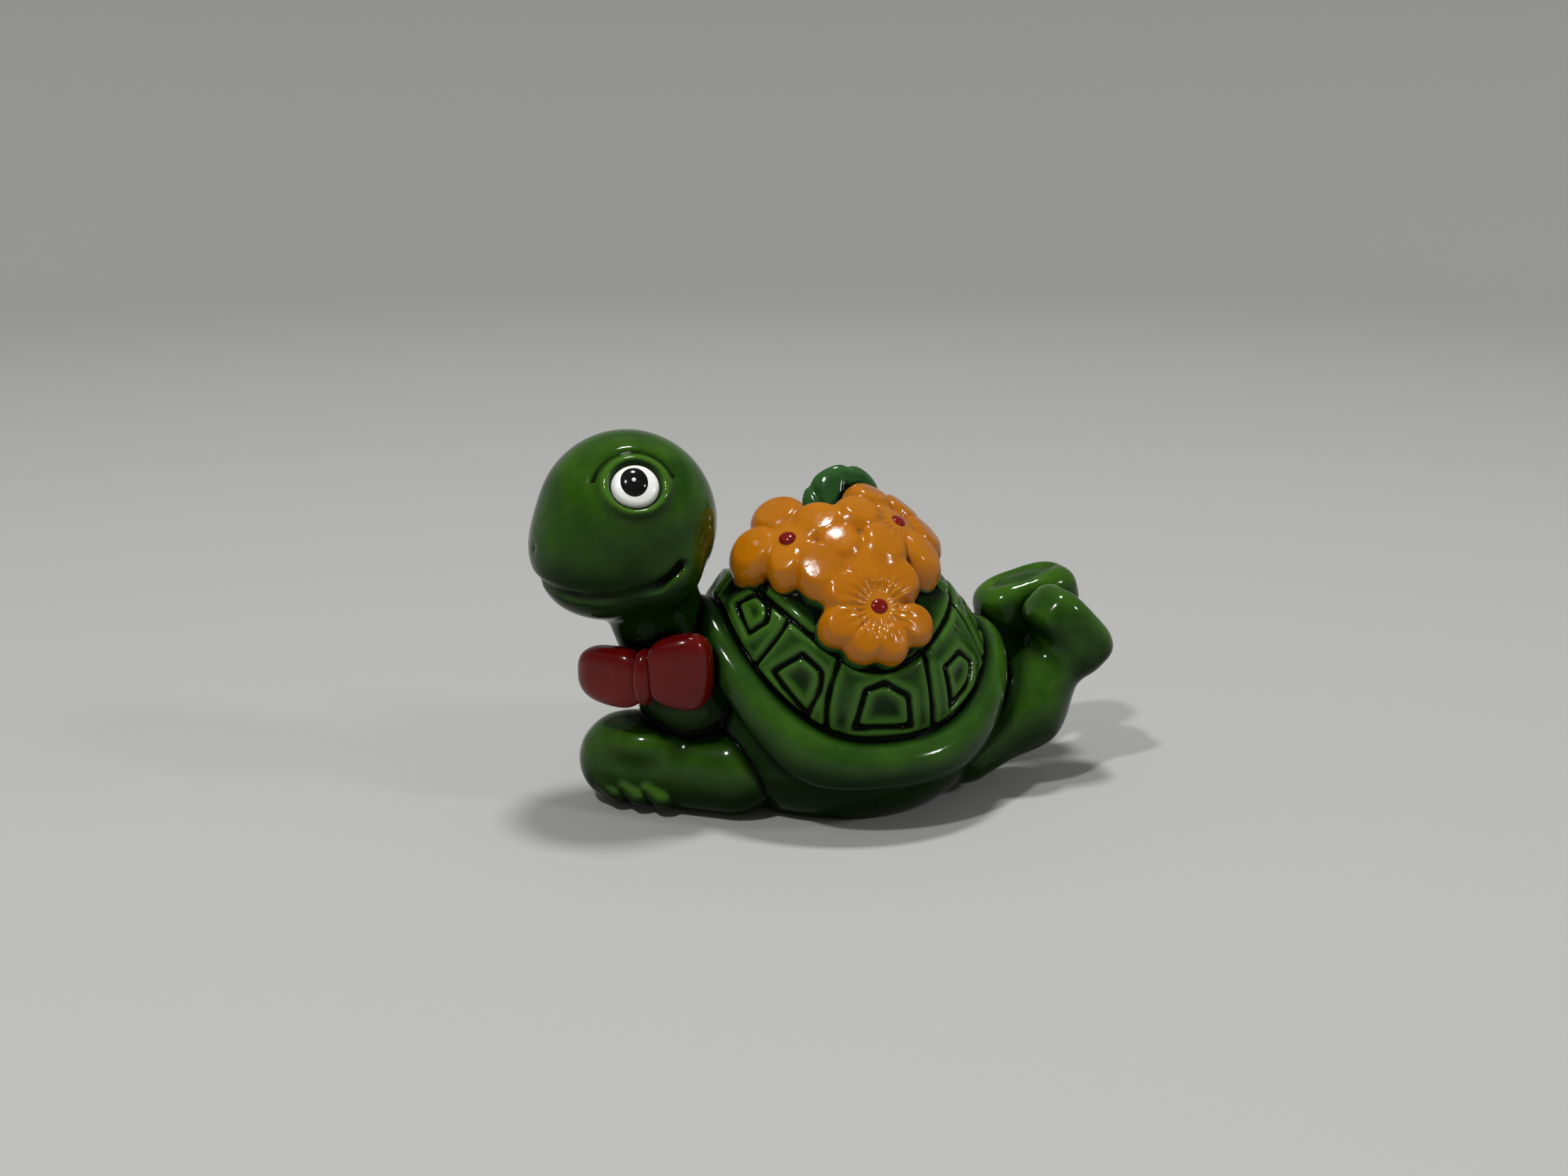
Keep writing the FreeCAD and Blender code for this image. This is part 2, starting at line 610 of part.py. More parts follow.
flowers = []
dots = []
for flower_name, flower_share in FLOWER_SHARES.items():
    petals, dot = make_flower(flower_name, flower_share)
    finish(f"{flower_name}_centre", less(f"{flower_name}_centre_form", dot, dots + [dome]))
    dots.append(dot)
    flowers.append((flower_name, petals))
placed = []
for flower_name, petals in flowers:
    finish(flower_name, less(f"{flower_name}_form", petals, dots + placed + [dome]))
    placed.append(petals)
leaf = leaf_form()
finish("leaf", less("leaf_cut", leaf, placed + [dome]))

head, jaw = head_forms()
eyes = []
for side, across in (("left", -1), ("right", 1)):
    ball, pupil, glint = eye_forms(side, across)
    finish(f"{side}_eye_glint", glint)
    finish(f"{side}_pupil", less(f"{side}_pupil_cut", pupil, [glint]))
    finish(f"{side}_eye", less(f"{side}_eye_cut", ball, [pupil, glint]))
    eyes += [ball, pupil]
finish("head", less("head_cut", head, eyes))
finish("lower_jaw", less("jaw_cut", jaw, [head]))

table = space_over_table("table_space")
under_rim = under_shell("under_rim", 0)
finish("shell_rim", rim)
finish("shell_dome", less("dome_cut", core, [under_rim, rim]))

chest = ellipsoid("chest_form", ("Sizes.chest_length", "Sizes.chest_width", "Sizes.chest_height"),
                  ("-Sizes.chest_forward", "0", "Sizes.chest_centre_height"))
neck = neck_form()
finish("neck", less("neck_cut", neck, [head, jaw, rim]))
knot, wings = bow_forms()
finish("bow_knot", less("knot_cut", knot, [neck, chest]))
finish("bow_front_wing", less("front_wing_cut", wings[0], [knot, neck, chest]))
finish("bow_rear_wing", less("rear_wing_cut", wings[1], [knot, neck, chest, rim]))

left_arm, right_arm = [both(f"{form.Name}_on_table", form, table) for form in arm_forms()]
fingers = finger_form()
finish("left_arm", less("left_arm_cut", left_arm, [rim]))
finish("right_hand_fingers", less("fingers_cut", fingers, [left_arm]))
finish("right_arm", less("right_arm_cut", right_arm, [left_arm, fingers, rim]))

left_leg, left_foot = leg_forms("left", -1)
right_leg, right_foot = leg_forms("right", 1)
finish("left_foot", left_foot)
finish("right_foot", less("right_foot_cut", right_foot, [left_foot]))
finish("left_leg", less("left_leg_cut", left_leg, [left_foot, right_foot, rim]))
finish("right_leg", less("right_leg_cut", right_leg, [left_foot, right_foot, left_leg, rim]))

finish("chest", less("chest_cut", chest, [neck, left_arm, right_arm, rim]))
belly = ellipsoid("belly_form", ("Sizes.belly_length", "Sizes.belly_width", "Sizes.belly_depth"),
                  ("0", "0", "Sizes.belly_centre_height"))
belly = both("belly_on_table", both("belly_under_shell", belly, under_rim), table)
finish("belly", less("belly_cut", belly, [rim, chest, left_arm, right_arm, fingers, left_leg, right_leg]))

doc.recompute()
for piece in doc.Objects:
    if any(word in piece.State for word in ("Invalid", "Error")):
        raise RuntimeError(f"{piece.Name} failed: {piece.State}")
os.makedirs("parts", exist_ok=True)
for piece in finished:
    shape = piece.Shape
    if shape.isNull() or not shape.isValid() or not shape.Solids:
        raise RuntimeError(f"{piece.Label} has no valid solid")
    shape.exportStep(f"parts/{piece.Label}.step")
    print(f"{piece.Label}: {len(shape.Solids)} solids, {shape.Volume:.1f} mm3")
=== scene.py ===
from math import cos, pi, radians, sin, sqrt

import bpy
import numpy as np
from mathutils import Euler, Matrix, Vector


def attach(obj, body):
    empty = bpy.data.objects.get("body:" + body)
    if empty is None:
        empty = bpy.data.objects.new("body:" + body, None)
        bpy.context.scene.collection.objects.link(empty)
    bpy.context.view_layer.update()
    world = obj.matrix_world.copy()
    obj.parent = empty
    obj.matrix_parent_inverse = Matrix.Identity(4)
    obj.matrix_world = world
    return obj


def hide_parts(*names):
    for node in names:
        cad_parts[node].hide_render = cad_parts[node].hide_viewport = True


# Turtle figurine, painted and glossy. Each form is a distance field in millimetres, in the frame of the
# solids, and becomes a mesh in metres. Fields are joined with soft fillets, as the forms of a moulding are.

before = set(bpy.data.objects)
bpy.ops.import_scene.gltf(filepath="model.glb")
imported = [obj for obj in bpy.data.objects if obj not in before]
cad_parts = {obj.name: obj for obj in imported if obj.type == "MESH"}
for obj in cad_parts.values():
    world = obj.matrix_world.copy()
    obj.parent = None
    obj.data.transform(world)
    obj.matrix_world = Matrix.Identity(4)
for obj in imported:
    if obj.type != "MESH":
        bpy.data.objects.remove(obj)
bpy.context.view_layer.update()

# Cell sizes in mm for the body, the shell, the small pieces and the volume that sets the painted shade in
# creases and hollows
VOXEL = 0.18
SHELL_VOXEL = 0.14
FINE_VOXEL = 0.125
HOLLOW_VOXEL = 0.3
MM = 0.001


# Distance fields. P is a tuple of three arrays: x, y and z.

def smooth_step(low, high, value):
    share = np.clip((value - low) / (high - low), 0, 1)
    return share * share * (3 - 2 * share)


def along(offset, ways):
    """How far an offset goes along each of several ways."""
    return [sum(offset[axis] * way[axis] for axis in range(3)) for way in ways]


def rotated(P, centre, angles):
    """The points in the axes of a form that is turned by angles in degrees round x, then y, then z."""
    turn = np.array(Euler([radians(angle) for angle in angles]).to_matrix())
    offset = [P[axis] - centre[axis] for axis in range(3)]
    return tuple(sum(turn[row][axis] * offset[row] for row in range(3)) for axis in range(3))


def ellipsoid(P, centre, radii, angles=(0, 0, 0)):
    """Nearly the distance to an ellipsoid."""
    x, y, z = rotated(P, centre, angles)
    near = np.sqrt((x / radii[0]) ** 2 + (y / radii[1]) ** 2 + (z / radii[2]) ** 2)
    far = np.sqrt((x / radii[0] ** 2) ** 2 + (y / radii[1] ** 2) ** 2 + (z / radii[2] ** 2) ** 2)
    return near * (near - 1) / np.maximum(far, 1e-6)


def block(P, centre, radii, angles=(0, 0, 0), power=2.8):
    """An ellipsoid with fuller corners."""
    parts = rotated(P, centre, angles)
    near = sum(np.abs(part / radius) ** power for part, radius in zip(parts, radii)) ** (1 / power)
    return (near - 1) * min(radii)


def capsule(P, start, end, start_radius, end_radius):
    """A limb with round ends."""
    run = np.subtract(end, start)
    length = run @ run
    offset = [P[axis] - start[axis] for axis in range(3)]
    share = np.clip(sum(offset[axis] * run[axis] for axis in range(3)) / length, 0, 1)
    away = np.sqrt(sum((offset[axis] - share * run[axis]) ** 2 for axis in range(3)))
    return away - (start_radius + (end_radius - start_radius) * share)


def chain(P, points, radii):
    """A tube along several points."""
    field = None
    for count in range(len(points) - 1):
        link = capsule(P, points[count], points[count + 1], radii[count], radii[count + 1])
        field = link if field is None else np.minimum(field, link)
    return field


def join(first, second, fillet):
    """The union of two fields with a soft fillet."""
    blend = np.clip(0.5 + 0.5 * (second - first) / fillet, 0, 1)
    return second + (first - second) * blend - fillet * blend * (1 - blend)


def cut(first, second, fillet):
    """The first field without the second."""
    return -join(-first, second, fillet)


def groove(field, line, width, depth):
    """Presses a soft furrow into a field where the line's field is near zero."""
    return field + depth * np.exp(-(line / width) ** 2)


# Sizes of the figurine in millimetres

DOME_CENTRE = (0.2, 0, 7.2)
DOME_RADII = (9.55, 9.3, 11.1)
DOME_TILT = -42.7
RIM_LENGTH, RIM_WIDTH = 9.55, 9.8
RIM_SIDE, RIM_FRONT, RIM_REAR = 4.7, 12.4, 9.4
RIM_THICK, RIM_TALL = 1.35, 1.45
HEAD = (-14.35, 0, 19.1)
SKULL_RADII = (5.7, 5.5, 5.8)


def rim_height(forward):
    """Height of the rim's centre line where its direction has the given share of forward."""
    front = RIM_SIDE + (RIM_FRONT - RIM_SIDE) * np.abs(forward) ** 3.6
    rear = RIM_SIDE + (RIM_REAR - RIM_SIDE) * np.abs(forward) ** 3.2
    return np.where(forward >= 0, rear, front)


def rim_frame(P):
    """How far a point is outside and above the rim's centre line, and its direction round the shell."""
    turn = np.arctan2(P[1] / RIM_WIDTH, P[0] / RIM_LENGTH)
    forward, side = np.cos(turn), np.sin(turn)
    out = np.hypot(P[0], P[1]) - np.hypot(RIM_LENGTH * forward, RIM_WIDTH * side)
    rise = P[2] - rim_height(forward)
    return out, rise, turn


def dome(P, inset=0):
    return ellipsoid(P, DOME_CENTRE, [radius - inset for radius in DOME_RADII], (0, DOME_TILT, 0))


def rim(P):
    """The rolled rim, measured square to its centre line where that climbs."""
    out, rise, turn = rim_frame(P)
    slope = np.where(np.cos(turn) >= 0, 0.75, 1.0) * np.abs(np.sin(2 * turn)) ** 1.5
    steep = np.sqrt(1 + slope * slope)
    tall = rise / steep
    near = np.sqrt((out / RIM_THICK) ** 2 + (tall / RIM_TALL) ** 2)
    far = np.sqrt((out / RIM_THICK ** 2) ** 2 + (tall / RIM_TALL ** 2) ** 2)
    return near * (near - 1) / np.maximum(far, 1e-3)


# Plates of the shell. A divider is given by its place round the shell at the bottom and at the top, in
# degrees from the rear. A panel is given by the way to its middle from the dome's centre, and its corners in
# mm across and up from there. The crown is the ring of plates at the top, with a hub in its middle.

DIVIDERS = ((0, 0), (33, 36), (71, 72), (115, 106), (151, 133), (180, 180))
PANELS = (
    ((-0.69, -0.38, 0.61), ((-1.65, 0.15), (-0.35, 1.15), (0.85, 0.5), (1.1, -0.4), (0.1, -1.45))),
    ((-0.545, -0.785, 0.295), ((-2.1, 0.35), (-0.25, 1.6), (1.05, 0.65), (1.05, -0.45), (0.25, -2.15))),
    ((-0.05, -0.99, 0.13), ((-2.0, -1.3), (-1.3, 1.05), (0.0, 1.45), (1.55, 0.45), (1.7, -1.5))),
    ((0.555, -0.795, 0.24), ((-1.3, 0.7), (0.45, 1.3), (1.45, 0.45), (0.75, -0.7), (-1.3, -1.75))),
    ((0.83, -0.27, 0.46), ((-1.1, -0.9), (-1.2, 0.4), (0.0, 1.2), (1.2, 0.4), (1.1, -0.9))),
)
CROWN_CENTRE = -0.3
CROWN_FRONT, CROWN_REAR, CROWN_SIDE = 7.0, 7.3, 8.8
SPOKES = (30, 90, 150)
HUB_SHARE = 0.42
NO_LINE = 9.0
PLATE_RISE = 0.36
TRENCH_DEPTH, TRENCH_WIDTH = 0.24, 0.2


def onto_dome(P):
    """The points of the dome that lie in the same directions from its centre."""
    local = rotated(P, DOME_CENTRE, (0, DOME_TILT, 0))
    reach = np.sqrt(sum((part / radius) ** 2 for part, radius in zip(local, DOME_RADII))) + 1e-6
    return tuple(DOME_CENTRE[axis] + (P[axis] - DOME_CENTRE[axis]) / reach for axis in range(3))


def dome_slopes(P):
    """The plan components of the dome's normal."""
    local = rotated(P, DOME_CENTRE, (0, DOME_TILT, 0))
    parts = [local[axis] / DOME_RADII[axis] ** 2 for axis in range(3)]
    size = np.sqrt(sum(part * part for part in parts)) + 1e-9
    tilt = radians(-DOME_TILT)
    return (parts[0] * cos(tilt) - parts[2] * sin(tilt)) / size, parts[1] / size


def plan_line(P, value, slope):
    """Distance along the dome to a line of the plan, from its value and the plan slope of that value."""
    across, side = dome_slopes(P)
    steep = np.hypot(*slope) + 1e-9
    lean = (slope[0] * across + slope[1] * side) / steep
    return value / steep / np.sqrt(np.maximum(1 - lean * lean, 0.08))


def panel_outline(P, way, corners):
    """Distance to the outline of one five-sided panel, less than nothing inside."""
    out = np.array(way) / np.linalg.norm(way)
    across = np.cross((0, 0, 1), out)
    across = across / np.linalg.norm(across)
    upward = np.cross(out, across)
    offset = (P[0] - DOME_CENTRE[0], -np.abs(P[1]), P[2] - DOME_CENTRE[2])
    depth, u, v = along(offset, (out, across, upward))
    outline = None
    for start, end in zip(corners, corners[1:] + corners[:1]):
        run = np.subtract(end, start)
        edge = ((v - start[1]) * run[0] - (u - start[0]) * run[1]) / np.linalg.norm(run)
        outline = edge if outline is None else -join(-outline, -edge, 0.25)
    return np.where(depth > 3, outline, NO_LINE)


def shell_lines(P):
    """Distance in mm to the nearest dividing line of the plates, and to the outline of a panel."""
    P = onto_dome(P)
    x, y = P[0], -np.abs(P[1])
    plan = np.maximum(np.hypot(x, y), 3.0)
    turn = np.degrees(np.arctan2(-y, x))
    rise = smooth_step(8.0, 14.5, P[2])
    dividers = np.full(x.shape, NO_LINE, dtype=np.float32)
    for low, high in DIVIDERS:
        dividers = np.minimum(dividers, np.abs(np.radians(turn - low - (high - low) * rise)) * plan)
    length = np.where(x < CROWN_CENTRE, CROWN_FRONT, CROWN_REAR)
    across, side = (x - CROWN_CENTRE) / length, y / CROWN_SIDE
    crown = np.hypot(across, side) + 1e-6
    slope = (across / crown / length, np.sign(P[1]) * -side / crown / CROWN_SIDE)
    ring = plan_line(P, crown - 1, slope)
    hub = plan_line(P, crown - HUB_SHARE, slope)
    spokes = np.full(x.shape, NO_LINE, dtype=np.float32)
    for angle in SPOKES:
        for sign in (-1, 1):
            spoke = (x - CROWN_CENTRE) * sin(radians(angle)) + sign * y * cos(radians(angle))
            spokes = np.minimum(spokes, np.abs(spoke))
    crown_lines = np.minimum(np.abs(hub), np.where(hub > 0, spokes, NO_LINE))
    lines = np.where(ring < 0, crown_lines, dividers)
    middle = np.full(x.shape, NO_LINE, dtype=np.float32)
    for way, corners in PANELS:
        middle = np.minimum(middle, panel_outline(P, way, corners))
    return np.minimum(lines, np.abs(ring)), middle


def shell_field(P):
    """Dome with its raised plates and sunk panels, cut off below the rim's middle, and the rolled rim."""
    lines, middle = shell_lines(P)
    plates = PLATE_RISE * smooth_step(-0.05, 0.42, lines)
    trench = TRENCH_DEPTH * np.exp(-(middle / TRENCH_WIDTH) ** 2)
    inner_dip = 0.12 * smooth_step(-0.25, -0.9, middle)
    outer_dip = 0.10 * smooth_step(0.45, 1.2, np.minimum(lines, np.abs(middle)))
    edge = smooth_step(0.08, 0.4, rim(P))
    height = 0.14 + (plates - trench - (inner_dip + outer_dip)) * edge
    rise = rim_frame(P)[1]
    top = np.maximum(dome(P, 0.5) - height, -(rise + 0.6))
    return join(top, rim(P), 0.25)


# Head and neck

EYE_WAY = np.array((-0.08, -0.80, 0.60))
EYE_RADII = (1.5, 1.4)


def head_point(direction):
    """The point on the skull in a direction from its centre."""
    way = np.array(direction) / np.linalg.norm(direction)
    reach = 1 / sqrt(((way / np.array(SKULL_RADII)) ** 2).sum())
    return np.array(HEAD) + way * reach


def eye_axes():
    """Across, upward and outward axes of the left eye."""
    out = EYE_WAY / np.linalg.norm(EYE_WAY)
    normal = out * np.array([1 / radius ** 2 for radius in SKULL_RADII])
    normal = normal / np.linalg.norm(normal)
    across = np.cross((0, 0, 1), normal)
    across = across / np.linalg.norm(across)
    return across, np.cross(normal, across), normal


def eye_frame(P):
    """A point's place across and up the left eye, and out of the head. The right eye mirrors it."""
    centre = head_point(EYE_WAY)
    offset = (P[0] - centre[0], -np.abs(P[1]) - centre[1], P[2] - centre[2])
    return along(offset, eye_axes())


# The left half of the mouth's line
MOUTH = [(-20.3, 0.0, 15.75), (-19.6, -2.0, 15.55), (-17.9, -3.75, 15.3), (-15.7, -4.75, 15.4),
         (-13.7, -5.0, 16.1), (-12.3, -4.95, 17.3)]


def head_field(P):
    """Skull, snout, chin and cheeks, with the eye's lid and socket, brow, mouth and nostrils."""
    x, y, z = P
    side = (x, -np.abs(y), z)
    field = ellipsoid(P, HEAD, SKULL_RADII)
    field = join(field, ellipsoid(P, (-16.35, 0, 17.3), (4.0, 4.5, 3.25)), 1.6)
    field = join(field, ellipsoid(P, (-15.5, 0, 15.3), (3.9, 4.0, 2.2)), 0.7)
    field = join(field, ellipsoid(side, (-12.7, -3.5, 16.6), (2.0, 1.7, 2.0)), 1.3)
    u, v, out = eye_frame(P)
    socket = np.hypot(u / 1.72, v / 1.62)
    front = np.where(out > -2.5, 1.0, 0.0)
    field = field - 0.30 * np.exp(-((socket - 1.12) / 0.2) ** 2) * front
    field = field + 0.28 * smooth_step(1.02, 0.9, socket) * front
    brow = np.hypot(u, v + 0.2)
    brow_line = np.where(v > 0.5, np.abs(brow - 2.6), NO_LINE)
    field = groove(field, brow_line, 0.22, 0.2)
    mouth = chain(side, MOUTH, [0.0] * len(MOUTH))
    field = groove(field, mouth, 0.33, 0.55)
    nostril = np.sqrt((side[0] + 20.05) ** 2 + (side[1] + 0.75) ** 2 + (side[2] - 18.0) ** 2)
    return groove(field, nostril, 0.32, 0.3)


def neck_field(P):
    """Neck and chest."""
    neck = capsule(P, (-10.4, 0.2, 7.6), (-14.0, 0, 17.0), 3.1, 3.0)
    return join(neck, ellipsoid(P, (-9.4, 0.3, 7.2), (4.0, 3.5, 4.2)), 1.0)


# Limbs and belly

def arms_field(P):
    """The left arm laid across the front, with a flatter wrist on it, and the right arm beside it."""
    hand, elbow = (-14.35, 1.7, 2.9), (-8.2, -2.75, 2.95)
    left = capsule(P, elbow, hand, 3.0, 2.95)
    left = join(left, ellipsoid(P, (-13.2, 0.2, 4.6), (3.2, 2.6, 1.6), (0, 0, -35)), 0.8)
    right = capsule(P, (-8.3, 2.75, 2.9), (-12.0, 0.6, 2.4), 2.95, 2.2)
    return join(left, right, 0.35)


FINGERS = ((-15.75, 0.35, 1.75), (-14.55, -0.75, 1.7), (-13.3, -1.75, 1.7))


def finger_field(P):
    """Three short fingers of the right hand, which come out low in front of the left arm."""
    field = None
    for x, y, z in FINGERS:
        start = (x - 0.35, y - 0.1, z + 0.3)
        end = (x + 0.35, y - 0.6, z - 0.35)
        finger = capsule(P, start, end, 0.62, 0.7)
        field = finger if field is None else join(field, finger, 0.08)
    return field


def belly_field(P):
    return ellipsoid(P, (0, 0, 5.0), (9.8, 9.4, 7.0))


# The left leg is -1 and the right leg 1. The slope is that of the foot's sole, in degrees.
LEGS = {
    -1: {
        "start": (7.2, -3.3, 3.4), "knee": (11.8, -3.1, 5.2), "ankle": (14.6, -2.6, 8.6),
        "foot": (15.2, -2.4, 10.1), "slope": 47, "radii": (3.25, 2.4, 1.95),
    },
    1: {
        "start": (7.2, 3.3, 3.6), "knee": (12.0, 3.1, 6.0), "ankle": (13.6, 2.6, 9.2),
        "foot": (14.3, 2.5, 10.95), "slope": -14, "radii": (3.6, 2.3, 2.0),
    },
}


def leg_field(P, side):
    """A leg bent upward at its knee, and a foot with a sole that is sunk a little."""
    place = LEGS[side]
    field = capsule(P, place["start"], place["knee"], 2.9, 2.55)
    field = join(field, capsule(P, place["knee"], place["ankle"], 2.55, 2.0), 1.4)
    foot = block(P, place["foot"], place["radii"], (0, place["slope"], 0), 3.0)
    field = join(field, foot, 0.9)
    x, y, z = rotated(P, place["foot"], (0, place["slope"], 0))
    pad = np.hypot(x / 2.9, y / 1.6)
    return field + 0.3 * smooth_step(1.0, 0.55, pad) * smooth_step(0.4, 1.4, z)


# Flowers, leaf and bow

def dome_normal(share):
    """The point on the dome in a direction from its centre, and the normal there."""
    turn = np.array(Euler((0, radians(DOME_TILT), 0)).to_matrix())
    local = turn.T @ np.array(share, dtype=float)
    radii = np.array(DOME_RADII)
    surface = local / sqrt(((local / radii) ** 2).sum())
    normal = surface / radii ** 2
    normal = normal / np.linalg.norm(normal)
    return np.array(DOME_CENTRE) + turn @ surface, turn @ normal


# Each flower: the way to its centre, the height of its top over the dome, how much that drops for each mm
# down the shell and climbs for each mm up it, the depth of its flutes, and its petals, as places in mm from
# its centre across (towards the rear) and up in its own plane, with their radius.
FLOWERS = {
    "front_flower": {
        "way": (-0.416, -0.27, 0.869), "top": 2.1, "fall": 0.28, "rise": 0.18, "flutes": 0.0,
        "petals": (
            (-1.7, 2.3, 1.85), (-2.35, -0.65, 1.7), (0.2, -1.5, 1.2), (1.3, 2.0, 1.8), (2.5, -1.3, 1.7),
            (3.2, 0.7, 1.5),
        ),
    },
    "rear_flower": {
        "way": (0.185, -0.245, 0.952), "top": 2.35, "fall": 0.22, "rise": 0.24, "flutes": 0.05,
        "petals": (
            (1.3, 2.7, 1.6), (3.3, 0.9, 1.6), (2.7, -1.4, 1.6), (0.0, -2.5, 1.6), (-2.7, -0.6, 1.7),
            (-1.8, 2.0, 1.7),
        ),
    },
    "low_flower": {
        "way": (-0.063, -0.731, 0.679), "top": 1.4, "fall": 0.0, "rise": 0.12, "flutes": 0.06,
        "petals": (
            (-2.45, -0.75, 1.35), (-1.25, -2.1, 1.2), (0.5, -2.3, 1.25), (2.4, -1.15, 1.4), (1.8, 1.8, 1.7),
            (-1.7, 1.3, 1.6), (0.2, 3.0, 2.2),
        ),
    },
}
FLUTE_COUNT = 22
PETAL_EDGE = 0.42


def flower_axes(name):
    """Centre of a flower on the shell, and its axes: across towards the rear, upward, and out."""
    point, out = dome_normal(FLOWERS[name]["way"])
    across = np.cross((0, 0, 1), out)
    across = across / np.linalg.norm(across)
    if across[0] < 0:
        across = -across
    upward = np.cross(out, across)
    if upward[2] < 0:
        upward = -upward
    return point, across, upward, out


def flower_frame(P, name):
    """A point's place across, up and out of a flower's own plane."""
    point, across, upward, out = flower_axes(name)
    offset = [P[axis] - point[axis] for axis in range(3)]
    return along(offset, (across, upward, out))


def flower_field(P, name):
    """A thick pad of flat-topped petals with creases between them, fluted and lower towards the middle."""
    flower = FLOWERS[name]
    u, v, w = flower_frame(P, name)
    w = w - dome_sag(u, v)
    centre = np.hypot(u, v)
    flutes = flower["flutes"] * np.cos(FLUTE_COUNT * np.arctan2(v, u))
    flutes = flutes * smooth_step(0.7, 1.1, centre) * smooth_step(2.8, 1.5, centre)
    crown = flower["top"] + flower["fall"] * np.clip(v, -3.5, 0) + flower["rise"] * np.clip(v, 0, 3.5)
    crown = crown - 0.22 * smooth_step(1.9, 0.5, centre) + flutes
    field = centre - 1.9
    relief = np.full(u.shape, NO_LINE)
    for across, upward, radius in flower["petals"]:
        reach = np.hypot(u - across, v - upward)
        field = join(field, reach - radius, 0.45)
        ratio = reach / radius
        relief = join(relief, 0.07 * ratio ** 2 + 0.32 * smooth_step(0.62, 1.08, ratio), 0.02)
    relief = np.where(centre < 3.0, relief * smooth_step(0.6, 2.0, centre), relief)
    field = -join(-field, -(w - crown + np.minimum(relief, PETAL_EDGE)), 0.6)
    return np.maximum(field, -w - 0.6)


def blooms_field(P):
    """The three flowers, grown together."""
    field = None
    for name in FLOWERS:
        flower = flower_field(P, name)
        field = flower if field is None else join(field, flower, 0.3)
    return field


def dome_sag(u, v):
    """How far the dome falls away from its tangent plane."""
    return -(u * u + v * v) / 22.0


def dot_field(P, name):
    """The raised red middle of a flower."""
    u, v, w = flower_frame(P, name)
    return ellipsoid((u, v, w), (0, 0, FLOWERS[name]["top"] - 0.34), (0.6, 0.55, 0.32))


def leaf_field(P):
    """A broad bent leaf that leans back, with veins that fan out from its low front corner."""
    x, y, z = rotated(P, (0.55, 0.75, 19.1), (-30, 0, 0))
    arch = y - 0.10 * x * x + 0.05 * z * z
    field = ellipsoid((x, arch, z), (0, 0, 0.2), (2.75, 0.7, 2.3))
    fan = np.arctan2(x + 1.3, z + 2.3)
    folds = np.abs(np.sin(5.5 * (fan - 0.35)))
    return groove(field, folds, 0.35, 0.14 * smooth_step(0.3, 1.4, np.hypot(x + 1.3, z + 2.3)))


BOW_TURN = 38
BOW_CENTRE = (-14.1, -3.15, 9.9)


def bow_fields(P):
    """Fields of the knot and the front and rear wings. The bow bends round the chest."""
    u, v, w = rotated(P, BOW_CENTRE, (0, 0, -BOW_TURN))
    v = v - 0.035 * u * u
    knot = ellipsoid((u, v, w), (0.0, -0.02, -0.1), (0.8, 1.2, 1.85))
    front_height = 2.0 - 0.07 * np.clip(-u - 1, 0, 5)
    front = block((u, v, (w + 0.35) * 1.9 / front_height), (-2.45, 0.1, 0), (2.5, 1.15, 1.9))
    for fold in (0.05, -0.75):
        end = np.maximum(u + 2.1, 0) + np.maximum(-3.3 - u, 0)
        front = groove(front, np.hypot(w - fold, end), 0.4, 0.07)
    rear_height = 2.05 + 0.2 * np.clip(u, 0, 5)
    rear = block((u, v, w * 2.5 / rear_height), (2.1, 0.15, 0.4), (2.1, 1.2, 2.4))
    return knot, front, rear


# Meshes out of fields

def grid(low, high, voxel):
    axes = [np.arange(low[axis], high[axis] + voxel, voxel, dtype=np.float32) for axis in range(3)]
    return axes, np.meshgrid(*axes, indexing="ij")


def cell_points(cells, values):
    """One point in each given cell, in the middle of the places where its edges cross zero."""
    sums = np.zeros((len(cells), 3))
    hits = np.zeros(len(cells))
    for axis in range(3):
        others = [other for other in range(3) if other != axis]
        for first in (0, 1):
            for second in (0, 1):
                start = cells.copy()
                start[:, others[0]] += first
                start[:, others[1]] += second
                end = start.copy()
                end[:, axis] += 1
                a = values[tuple(start.T)]
                b = values[tuple(end.T)]
                cross = (a < 0) != (b < 0)
                share = np.where(cross, a / np.where(cross, a - b, 1), 0)
                place = (start - cells).astype(float)
                place[:, axis] += share
                sums[cross] += place[cross]
                hits[cross] += 1
    return cells + sums / hits[:, None]


def cell_faces(number, inside):
    """A quad round each edge of the grid that crosses zero, with its front outward."""
    shape = inside.shape
    faces = []
    for axis in range(3):
        others = [(axis + 1) % 3, (axis + 2) % 3]
        low = [slice(None)] * 3
        high = [slice(None)] * 3
        low[axis] = slice(0, -1)
        high[axis] = slice(1, None)
        change = inside[tuple(low)] != inside[tuple(high)]
        edges = np.argwhere(change)
        keep = (edges[:, others[0]] > 0) & (edges[:, others[1]] > 0)
        keep &= (edges[:, others[0]] < shape[others[0]] - 1) & (edges[:, others[1]] < shape[others[1]] - 1)
        edges = edges[keep]
        ring = []
        for first, second in ((1, 1), (0, 1), (0, 0), (1, 0)):
            cell = edges.copy()
            cell[:, others[0]] -= first
            cell[:, others[1]] -= second
            ring.append(number[tuple(cell.T)])
        quad = np.stack(ring, axis=1)
        outward = inside[tuple(edges.T)]
        quad[~outward] = quad[~outward][:, ::-1]
        faces.append(quad)
    return np.concatenate(faces)


